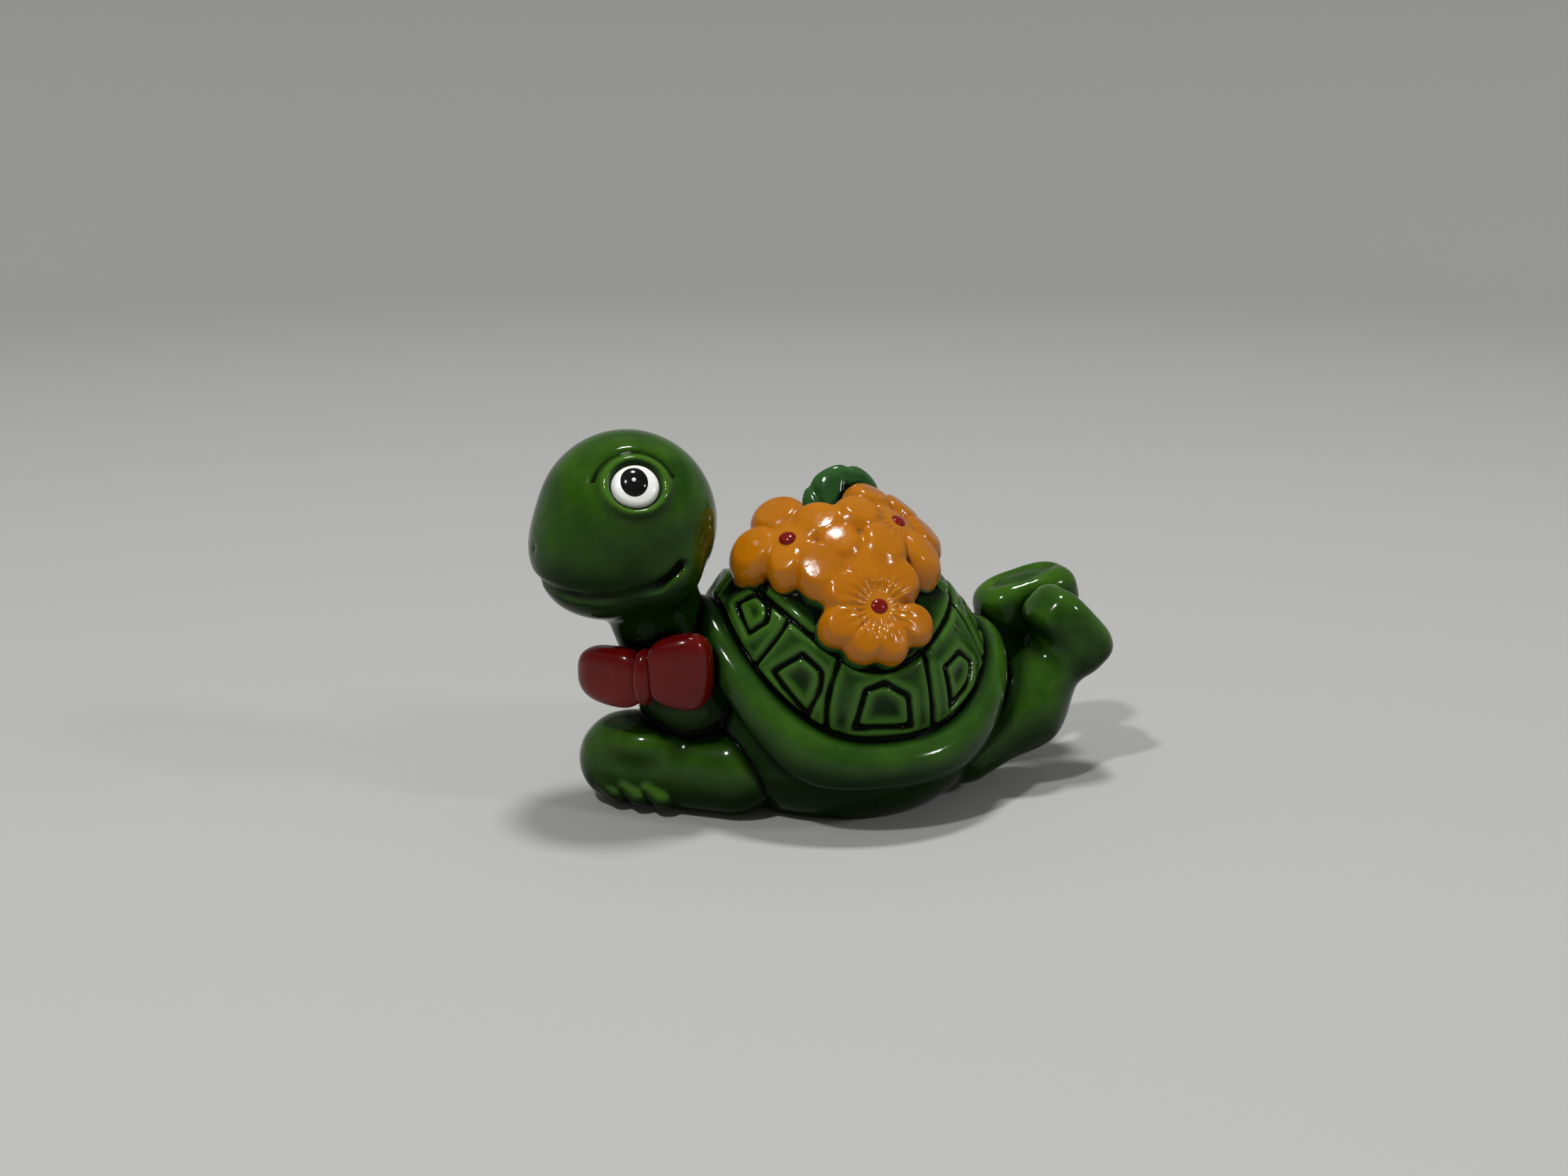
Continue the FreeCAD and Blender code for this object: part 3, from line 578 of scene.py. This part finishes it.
def net(axes, values):
    """A closed mesh of quads where the values change sign, one point in each cell that the surface passes."""
    inside = values < 0
    shape = np.array(values.shape)
    total = np.zeros(shape - 1, dtype=np.int8)
    for dx in (0, 1):
        for dy in (0, 1):
            for dz in (0, 1):
                total += inside[dx:shape[0] - 1 + dx, dy:shape[1] - 1 + dy, dz:shape[2] - 1 + dz]
    active = (total > 0) & (total < 8)
    cells = np.argwhere(active)
    number = np.full(active.shape, -1, dtype=np.int64)
    number[active] = np.arange(len(cells))
    origin = np.array([axes[axis][0] for axis in range(3)])
    step = axes[0][1] - axes[0][0]
    return origin + cell_points(cells, values) * step, cell_faces(number, inside)


def settle(points, field):
    """Moves points onto the field's zero, in a few short steps."""
    step, limit, rounds = 0.02, 0.08, 3
    for _ in range(rounds):
        x, y, z = points.T
        value = field((x, y, z))
        slope = np.stack([
            field((x + step, y, z)) - field((x - step, y, z)),
            field((x, y + step, z)) - field((x, y - step, z)),
            field((x, y, z + step)) - field((x, y, z - step)),
        ], axis=1) / (2 * step)
        size = np.maximum((slope ** 2).sum(axis=1), 0.25)
        move = -value[:, None] * slope / size[:, None]
        length = np.linalg.norm(move, axis=1)
        move *= np.minimum(1, limit / np.maximum(length, 1e-9))[:, None]
        points = points + move
    return points


def placed(name, item):
    """A new object in the scene."""
    thing = bpy.data.objects.new(name, item)
    bpy.context.scene.collection.objects.link(thing)
    return thing


def mesh_of(name, field, low, high, voxel, marks=None):
    """A mesh object of a field inside a box, with number attributes for its material."""
    axes, P = grid(low, high, voxel)
    points, faces = net(axes, field(P))
    points = settle(points, field)
    mesh = bpy.data.meshes.new(name)
    mesh.from_pydata((points * MM).tolist(), [], faces.tolist())
    mesh.polygons.foreach_set("use_smooth", [True] * len(mesh.polygons))
    for mark, values in (marks(points) if marks else {}).items():
        layer = mesh.attributes.new(mark, "FLOAT", "POINT")
        layer.data.foreach_set("value", values.astype(np.float32))
    mesh.update()
    return placed(name, mesh)


# The whole figurine as one field, for the painted shade that lies in its creases and hollows

def body_field(P):
    """Head, neck, arms, belly and legs in one skin, flat below."""
    field = join(head_field(P), neck_field(P), 0.9)
    field = join(field, arms_field(P), 0.12)
    belly = join(belly_field(P), leg_field(P, -1), 0.25)
    belly = join(belly, leg_field(P, 1), 0.25)
    field = join(field, belly, 0.06)
    return cut(field, P[2], 0.15)


def whole_field(P):
    field = np.minimum(body_field(P), shell_field(P))
    field = np.minimum(field, blooms_field(P))
    for part in bow_fields(P):
        field = np.minimum(field, part)
    return np.minimum(field, leaf_field(P))


def blurred(values, reach):
    """A volume averaged over boxes, three times over."""
    for _ in range(3):
        for axis in range(3):
            padded = np.concatenate([
                np.repeat(np.take(values, [0], axis), reach + 1, axis),
                values,
                np.repeat(np.take(values, [-1], axis), reach, axis),
            ], axis)
            total = np.cumsum(padded, axis=axis, dtype=np.float32)
            size = values.shape[axis]
            high = np.take(total, range(2 * reach + 1, 2 * reach + 1 + size), axis)
            low = np.take(total, range(0, size), axis)
            values = (high - low) / (2 * reach + 1)
    return values


WHOLE_LOW = (-22, -12, -1.5)
WHOLE_HIGH = (20, 12, 27)


def filled_volume():
    """How full the space round each cell is, near by for the creases and farther for the hollows."""
    axes, P = grid(WHOLE_LOW, WHOLE_HIGH, HOLLOW_VOXEL)
    field = whole_field(P)
    filled = np.clip(0.5 - field / HOLLOW_VOXEL, 0, 1).astype(np.float32)
    return axes, {"crease": blurred(filled, 1), "hollow": blurred(filled, 3)}


def sample(axes, volume, points):
    """Values of a volume at points, mixed from the eight nearest cells."""
    place = (points - np.array([axis[0] for axis in axes])) / HOLLOW_VOXEL
    base = np.floor(place).astype(int)
    base = np.clip(base, 0, np.array(volume.shape) - 2)
    share = np.clip(place - base, 0, 1)
    total = np.zeros(len(points))
    for dx in (0, 1):
        for dy in (0, 1):
            for dz in (0, 1):
                weight = np.ones(len(points))
                for axis, corner in enumerate((dx, dy, dz)):
                    weight *= share[:, axis] if corner else 1 - share[:, axis]
                total += weight * volume[base[:, 0] + dx, base[:, 1] + dy, base[:, 2] + dz]
    return total


VOLUME_AXES, VOLUMES = filled_volume()


def shade_marks(points):
    """The marks that the painted shade in creases and hollows follows, for the points of a mesh."""
    return {name: sample(VOLUME_AXES, volume, points) for name, volume in VOLUMES.items()}


def bloom_marks(points):
    """The painted shade volumes, how far a point is over the dome, and how far from the middle of the nearest
    flower.
    """
    values = shade_marks(points)
    values["petal_height"] = dome(points.T)
    reach = [np.hypot(*flower_frame(points.T, name)[:2]) for name in FLOWERS]
    values["petal_reach"] = np.minimum.reduce(reach)
    return values


def shell_marks(points):
    """The painted shade volumes, the distance to the lines of the plates and rim, and how far inside a panel a
    point is.
    """
    values = shade_marks(points)
    lines, middle = shell_lines(points.T)
    beside = rim(points.T)
    off_rim = beside > 0.04
    over_dome = dome(points.T, 0.5) < 0.7
    lines = np.where(over_dome & off_rim, np.minimum(lines, beside), NO_LINE)
    values["plate_line"] = np.where(off_rim, np.minimum(lines, np.abs(middle)), NO_LINE)
    values["panel_depth"] = np.where(off_rim, np.clip(-middle, 0, 2), 0)
    return values


# Materials

class Shader:
    """A material's nodes, added by short calls."""

    def __init__(self, name):
        self.material = bpy.data.materials.new(name)
        self.material.use_nodes = True
        self.nodes = self.material.node_tree.nodes
        self.links = self.material.node_tree.links
        self.bsdf = self.nodes["Principled BSDF"]

    def feed(self, socket, value):
        """Gives an input a number or colour, or links another node's output to it."""
        if isinstance(value, bpy.types.NodeSocket):
            self.links.new(value, socket)
        else:
            socket.default_value = value

    def add(self, kind, settings=None, inputs=None):
        node = self.nodes.new(kind)
        for key, value in (settings or {}).items():
            setattr(node, key, value)
        for key, value in (inputs or {}).items():
            self.feed(node.inputs[key], value)
        return node

    def mark(self, name):
        return self.add("ShaderNodeAttribute", {"attribute_name": name}).outputs["Fac"]

    def noise(self, scale, detail, rough=0.55):
        place = self.add("ShaderNodeTexCoord").outputs["Object"]
        inputs = {"Vector": place, "Scale": scale, "Detail": detail, "Roughness": rough}
        return self.add("ShaderNodeTexNoise", None, inputs).outputs["Fac"]

    def remap(self, value, low, high, out_low=0.0, out_high=1.0):
        inputs = {"Value": value, "From Min": low, "From Max": high, "To Min": out_low, "To Max": out_high}
        return self.add("ShaderNodeMapRange", {"clamp": True}, inputs).outputs["Result"]

    def math(self, operation, first, second):
        return self.add("ShaderNodeMath", {"operation": operation}, {0: first, 1: second}).outputs[0]

    def add_up(self, first, second):
        return self.math("ADD", first, second)

    def larger(self, first, second):
        return self.math("MAXIMUM", first, second)

    def times(self, first, second):
        return self.math("MULTIPLY", first, second)

    def mix(self, share, first, second):
        """Goes from the first colour to the second as the share goes from 0 to 1."""
        node = self.add("ShaderNodeMix", {"data_type": "RGBA"})
        for key, kind, value in (("Factor", "VALUE", share), ("A", "RGBA", first), ("B", "RGBA", second)):
            socket = next(one for one in node.inputs if one.name == key and one.type == kind)
            plain_colour = kind == "RGBA" and not isinstance(value, bpy.types.NodeSocket)
            self.feed(socket, (*value, 1) if plain_colour else value)
        return next(one for one in node.outputs if one.type == "RGBA")

    def bump(self, height, strength, distance):
        node = self.add("ShaderNodeBump", None, {"Height": height, "Strength": strength, "Distance": distance})
        self.links.new(node.outputs["Normal"], self.bsdf.inputs["Normal"])

    def colour(self, value):
        self.links.new(value, self.bsdf.inputs["Base Color"])

    def gloss(self, roughness, coat, level):
        """Sets the shine, each value a number or another node's output."""
        self.bsdf.inputs["Coat Roughness"].default_value = 0.035
        self.feed(self.bsdf.inputs["Roughness"], roughness)
        self.feed(self.bsdf.inputs["Coat Weight"], coat)
        self.feed(self.bsdf.inputs["Specular IOR Level"], level)


# Colour of the painted shade in the deepest creases and grooves
NEAR_BLACK = (0.0012, 0.0025, 0.0012)
CARVED_GREEN = (0.022, 0.075, 0.015)


def green_paint(name, light, mid, dark, creases, plates=False):
    """Glossy green with painted shade: near-black in the creases and plate lines, darker in the hollows, on
    faces that look down and in the sunk middles of panels. Lighter edges are painted highlights.
    """
    shader = Shader(name)
    crease = shader.mark("crease")
    hollow = shader.mark("hollow")
    patches = shader.noise(190.0, 4.0, 0.6)
    strokes = shader.noise(620.0, 3.0, 0.5)
    base = shader.mix(shader.remap(patches, 0.35, 0.68), mid, light)
    base = shader.mix(shader.remap(strokes, 0.3, 0.75, 0.0, 0.35), base, dark)
    wobble = shader.remap(patches, 0.3, 0.7, -0.03, 0.03)
    # Painted shade: the crease mark, from how filled the space near by is, darkens creases towards near-black
    crease_shade = shader.remap(shader.add_up(crease, wobble), *creases)
    normal = shader.add("ShaderNodeNewGeometry").outputs["Normal"]
    facing = shader.add("ShaderNodeSeparateXYZ", None, {0: normal}).outputs["Z"]
    # Painted shade on faces that look down, away from the lamps above
    under = shader.remap(facing, 0.4, -0.35)
    # Painted shade in the hollows, joined with the faces that look down
    deep = shader.larger(shader.remap(shader.add_up(hollow, wobble), 0.43, 0.54), under)
    shade = shader.larger(crease_shade, shader.times(deep, 0.8))
    # Painted highlight: convex edges that do not look down are lighter
    edge = shader.times(shader.remap(crease, 0.44, 0.34, 0.0, 0.5), shader.remap(under, 0.0, 0.5, 1.0, 0.0))
    if plates:
        line = shader.mark("plate_line")
        # Painted shade in the grooves between plates: near-black along the plate lines
        uneven = shader.add_up(line, shader.remap(strokes, 0.3, 0.7, -0.06, 0.06))
        crease_shade = shader.larger(crease_shade, shader.remap(uneven, 0.27, 0.12))
        shade = shader.larger(shade, crease_shade)
        # Painted highlight along the rounded plate edges beside the lines
        edge = shader.larger(edge, shader.remap(line, 0.8, 0.35, 0.0, 0.7))
        # Painted shade in the sunk middles of the panels
        deep = shader.larger(deep, shader.remap(shader.mark("panel_depth"), 0.35, 0.95))
    # The painted shade of the hollows mixes towards the dark green
    base = shader.mix(shader.times(deep, 0.92), base, dark)
    # The painted highlights mix towards a lighter green
    base = shader.mix(edge, base, [part * 1.3 + 0.008 for part in light])
    # The painted crease shade mixes towards near-black
    shader.colour(shader.mix(crease_shade, base, NEAR_BLACK))
    roughness = shader.remap(strokes, 0.3, 0.7, 0.08, 0.17)
    coat = shader.remap(shade, 0.1, 0.9, 0.26, 0.03)
    shader.gloss(roughness, coat, shader.remap(shade, 0.1, 0.9, 0.16, 0.03))
    shader.bump(shader.add_up(shader.noise(380.0, 2.0), shader.times(strokes, 0.35)), 0.22, 0.00022)
    return shader.material


def flower_paint():
    """Glossy orange, paler near the middles, with painted shade that deepens the orange in creases and goes
    near-black in the deepest, and green bare at the petals' foot.
    """
    shader = Shader("orange_flower_paint_look")
    height = shader.mark("petal_height")
    reach = shader.mark("petal_reach")
    crease = shader.mark("crease")
    patches = shader.noise(240.0, 4.0, 0.6)
    fine = shader.noise(900.0, 3.0, 0.6)
    base = shader.mix(shader.remap(patches, 0.3, 0.7), (0.37, 0.115, 0.001), (0.45, 0.155, 0.002))
    base = shader.mix(shader.remap(fine, 0.4, 0.8, 0.0, 0.25), base, (0.34, 0.095, 0.001))
    base = shader.mix(shader.remap(reach, 1.6, 0.7, 0.0, 0.2), base, (0.58, 0.23, 0.008))
    # Painted shade: creases darken to a deeper orange
    base = shader.mix(shader.remap(crease, 0.50, 0.68, 0.0, 0.8), base, (0.40, 0.12, 0.004))
    bare = shader.add_up(height, shader.remap(patches, 0.3, 0.7, -0.4, 0.4))
    base = shader.mix(shader.remap(bare, 0.45, 0.2), base, CARVED_GREEN)
    # Painted shade: the deepest creases, under and between the petals, go near-black
    shader.colour(shader.mix(shader.remap(crease, 0.60, 0.72), base, (0.006, 0.008, 0.002)))
    shader.gloss(shader.remap(fine, 0.3, 0.7, 0.12, 0.24), 0.3, 0.2)
    shader.bump(shader.add_up(shader.noise(520.0, 2.0), shader.times(fine, 0.4)), 0.3, 0.00025)
    return shader.material


def plain_gloss(name, first, second, scale, roughness, crease_shade=None):
    """A glossy paint of two near tones, with painted shade that darkens the creases where a crease range is
    given.
    """
    shader = Shader(name)
    patches = shader.noise(scale, 4.0, 0.6)
    base = shader.mix(shader.remap(patches, 0.3, 0.7), first, second)
    if crease_shade:
        # Painted shade: creases darken towards near-black
        base = shader.mix(shader.remap(shader.mark("crease"), *crease_shade), base, (0.006, 0.003, 0.002))
    shader.colour(base)
    shader.gloss(shader.remap(patches, 0.3, 0.7, roughness, roughness + 0.1), 0.26, 0.15)
    shader.bump(patches, 0.15, 0.0002)
    return shader.material


GREEN = green_paint(
    "green_gloss_paint_look",
    light=(0.042, 0.124, 0.003), mid=(0.014, 0.056, 0.002), dark=(0.003, 0.012, 0.001), creases=(0.53, 0.61),
)
SHELL = green_paint(
    "shell_gloss_paint_look",
    light=(0.033, 0.102, 0.006), mid=(0.013, 0.050, 0.004), dark=(0.003, 0.013, 0.002), creases=(0.54, 0.62),
    plates=True,
)
LEAF = green_paint(
    "leaf_gloss_paint_look",
    light=(0.024, 0.088, 0.018), mid=(0.010, 0.048, 0.009), dark=(0.003, 0.015, 0.004), creases=(0.52, 0.62),
)
ORANGE = flower_paint()
# The bow's red, with painted shade in its creases
RED = plain_gloss(
    "red_bow_paint_look", (0.08, 0.0015, 0.0015), (0.14, 0.003, 0.002), 260.0, 0.16, crease_shade=(0.57, 0.70),
)
DOT = plain_gloss("red_flower_eye_paint_look", (0.12, 0.003, 0.002), (0.2, 0.006, 0.004), 600.0, 0.15)
WHITE = plain_gloss("white_eye_paint_look", (0.80, 0.80, 0.77), (0.88, 0.88, 0.86), 500.0, 0.15)
BLACK = plain_gloss("black_pupil_paint_look", (0.003, 0.003, 0.003), (0.008, 0.008, 0.008), 500.0, 0.1)


# Pieces

def dress(piece, material, nodes):
    """Paints a piece and puts it in place of solids."""
    piece.data.materials.append(material)
    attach(piece, "root")
    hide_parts(*nodes)


BODY_NODES = [
    "head", "lower_jaw", "neck", "chest", "belly", "left_arm", "right_arm", "right_hand_fingers",
    "left_leg", "right_leg", "left_foot", "right_foot",
]
PLATES = ["front_scute", "front_side_scute", "side_scute", "rear_side_scute", "rear_scute"]
SHELL_NODES = ["shell_dome", "shell_rim"]
SHELL_NODES += [f"crown_scute_{count}" for count in range(1, 7)]
SHELL_NODES += [f"{side}_{plate}" for side in ("left", "right") for plate in PLATES]
SHELL_NODES += [f"{side}_{plate}_panel" for side in ("left", "right") for plate in PLATES]


def body_with_fingers(P):
    return join(body_field(P), finger_field(P), 0.12)


def make_turtle():
    low, high = (-21.5, -10.5, -0.6), (19.5, 10.5, 26)
    body = mesh_of("turtle_body", body_with_fingers, low, high, VOXEL, shade_marks)
    dress(body, GREEN, BODY_NODES)
    shell = mesh_of("turtle_shell", shell_field, (-12.2, -12, 2.4), (12, 12, 20.5), SHELL_VOXEL, shell_marks)
    dress(shell, SHELL, SHELL_NODES)


def make_flowers():
    low, high = (-11.0, -12.0, 8.5), (8.5, 5.0, 22.5)
    blooms = mesh_of("flower_blooms", blooms_field, low, high, FINE_VOXEL, bloom_marks)
    dress(blooms, ORANGE, list(FLOWERS))
    for name in FLOWERS:
        point = flower_axes(name)[0]

        def field(P, name=name):
            return dot_field(P, name)

        dot = mesh_of(f"{name}_eye", field, point - 3.6, point + 3.6, FINE_VOXEL / 1.5)
        dress(dot, DOT, [f"{name}_centre"])
    leaf = mesh_of("flower_leaf", leaf_field, (-3.5, -2.5, 16.8), (4.5, 4, 24), FINE_VOXEL, shade_marks)
    dress(leaf, LEAF, ["leaf"])


def make_bow():
    low, high = (-20.5, -8.2, 5.5), (-7, 3.5, 14)
    for index, name in enumerate(("bow_knot", "bow_front_wing", "bow_rear_wing")):

        def field(P, index=index):
            return bow_fields(P)[index]

        part = mesh_of(f"{name}_ribbon", field, low, high, FINE_VOXEL, shade_marks)
        dress(part, RED, [name])


def patch_points(centre, radii, lift, rings, spokes):
    """Points of a left eye's oval on the head, in rings from its middle, and the ring below its edge."""
    across, upward, out = eye_axes()
    points = [(0.0, 0.0)]
    for ring in range(1, rings + 1):
        for spoke in range(spokes):
            angle = 2 * pi * spoke / spokes
            points.append((ring / rings * cos(angle), ring / rings * sin(angle)))
    points = np.array(points)
    flat = points * np.array(radii) + np.array(centre)
    base = head_point(EYE_WAY) + flat[:, :1] * across + flat[:, 1:] * upward + out * 1.2
    reach = np.zeros(len(base))
    for _ in range(24):
        x, y, z = (base - out * reach[:, None]).T
        reach += 0.8 * ellipsoid((x, y, z), HEAD, SKULL_RADII)
    skin = base - out * reach[:, None]
    share = np.linalg.norm(points, axis=1)
    crown = lift * np.sqrt(np.clip(1 - share ** 2.6, 0, 1)) - 0.25 * (share >= 0.999)
    return np.concatenate([skin + out * crown[:, None], skin[-spokes:] - out * 0.6])


def patch_faces(rings, spokes):
    """Faces of the oval's front, side and back, for the order of its points."""
    faces = [(0, 1 + spoke, 1 + (spoke + 1) % spokes) for spoke in range(spokes)]
    for ring in range(rings):
        for spoke in range(spokes):
            a = 1 + ring * spokes + spoke
            b = 1 + ring * spokes + (spoke + 1) % spokes
            faces.append((a, a + spokes, b + spokes, b))
    back = 1 + rings * spokes
    faces.append(tuple(back + spoke for spoke in reversed(range(spokes))))
    return faces


def eye_patch(name, side, centre, radii, lift):
    """A thin painted oval that follows the head, given by its place in the eye's plane."""
    rings, spokes = 10, 48
    points = patch_points(centre, radii, lift, rings, spokes)
    faces = patch_faces(rings, spokes)
    if side == "right":
        points[:, 1] *= -1
    else:
        faces = [face[::-1] for face in faces]
    mesh = bpy.data.meshes.new(name)
    mesh.from_pydata((points * MM).tolist(), [], faces)
    mesh.polygons.foreach_set("use_smooth", [True] * (len(mesh.polygons) - 1) + [False])
    mesh.update()
    return placed(name, mesh)


def make_eyes():
    for side in ("left", "right"):
        white = eye_patch(f"{side}_eye_white", side, (0, 0), EYE_RADII, 0.22)
        dress(white, WHITE, [f"{side}_eye"])
        pupil = eye_patch(f"{side}_eye_pupil", side, (-0.1, 0.1), (0.98, 1.08), 0.34)
        dress(pupil, BLACK, [f"{side}_pupil"])
        spark = eye_patch(f"{side}_eye_spark", side, (-0.15, 0.2), (0.2, 0.2), 0.42)
        dress(spark, WHITE, [f"{side}_eye_glint"])


# Stage, lights and camera

def floor_mesh():
    """A flat disc that curves up all round, so that no edge of it shows behind the figurine."""
    flat, sweep, bend, rings, sides = 0.25, 0.35, 0.15, 24, 96
    radii = [flat + sweep * step / rings for step in range(rings + 1)]
    turns = [2 * pi * side / sides for side in range(sides)]
    points = [
        (radius * cos(turn), radius * sin(turn), (radius - flat) ** 2 / (2 * bend))
        for radius in radii for turn in turns
    ]
    faces = [tuple(range(sides))]
    for ring in range(rings):
        for side in range(sides):
            low, after = ring * sides, (side + 1) % sides
            faces.append((low + side, low + sides + side, low + sides + after, low + after))
    mesh = bpy.data.meshes.new("floor")
    mesh.from_pydata(points, [], faces)
    mesh.shade_smooth()
    return mesh


def make_stage():
    floor = placed("floor", floor_mesh())
    shader = Shader("pale_floor")
    shader.bsdf.inputs["Base Color"].default_value = (0.43, 0.43, 0.42, 1)
    shader.bsdf.inputs["Roughness"].default_value = 0.9
    floor.data.materials.append(shader.material)


def make_lamp(name, place, aim, size, power):
    lamp = bpy.data.lights.new(name, "AREA")
    lamp.shape = "DISK"
    lamp.size = size
    lamp.energy = power
    item = placed(name, lamp)
    item.location = place
    way = Vector(aim) - Vector(place)
    item.rotation_euler = way.to_track_quat("-Z", "Y").to_euler()


def make_lights():
    """Three small round lamps, which leave small bright spots on the gloss, and a weak even light."""
    aim = (0, 0, 0.01)
    make_lamp("key", (-0.20, -0.16, 0.34), aim, 0.03, 0.75)
    make_lamp("fill", (0.26, -0.24, 0.22), aim, 0.05, 0.28)
    make_lamp("top", (0.02, 0.02, 0.42), aim, 0.07, 0.95)
    world = bpy.data.worlds.new("world")
    bpy.context.scene.world = world
    world.use_nodes = True
    background = world.node_tree.nodes["Background"]
    background.inputs["Color"].default_value = (1.0, 0.98, 0.95, 1)
    background.inputs["Strength"].default_value = 0.2


def make_camera():
    """The photograph's camera, which looks down a little from the turtle's left front."""
    pitch, yaw = 15.3, 18
    camera = bpy.data.cameras.new("camera")
    camera.sensor_width = 36
    camera.lens = 50.65
    camera.clip_start = 0.005
    item = placed("camera", camera)
    item.location = (-0.04654, -0.13108, 0.05160)
    item.rotation_euler = (radians(90 - pitch), 0, radians(-yaw))
    bpy.context.scene.camera = item


make_camera()
make_turtle()
make_flowers()
make_bow()
make_eyes()
make_stage()
make_lights()
bpy.context.scene.view_settings.view_transform = "Standard"
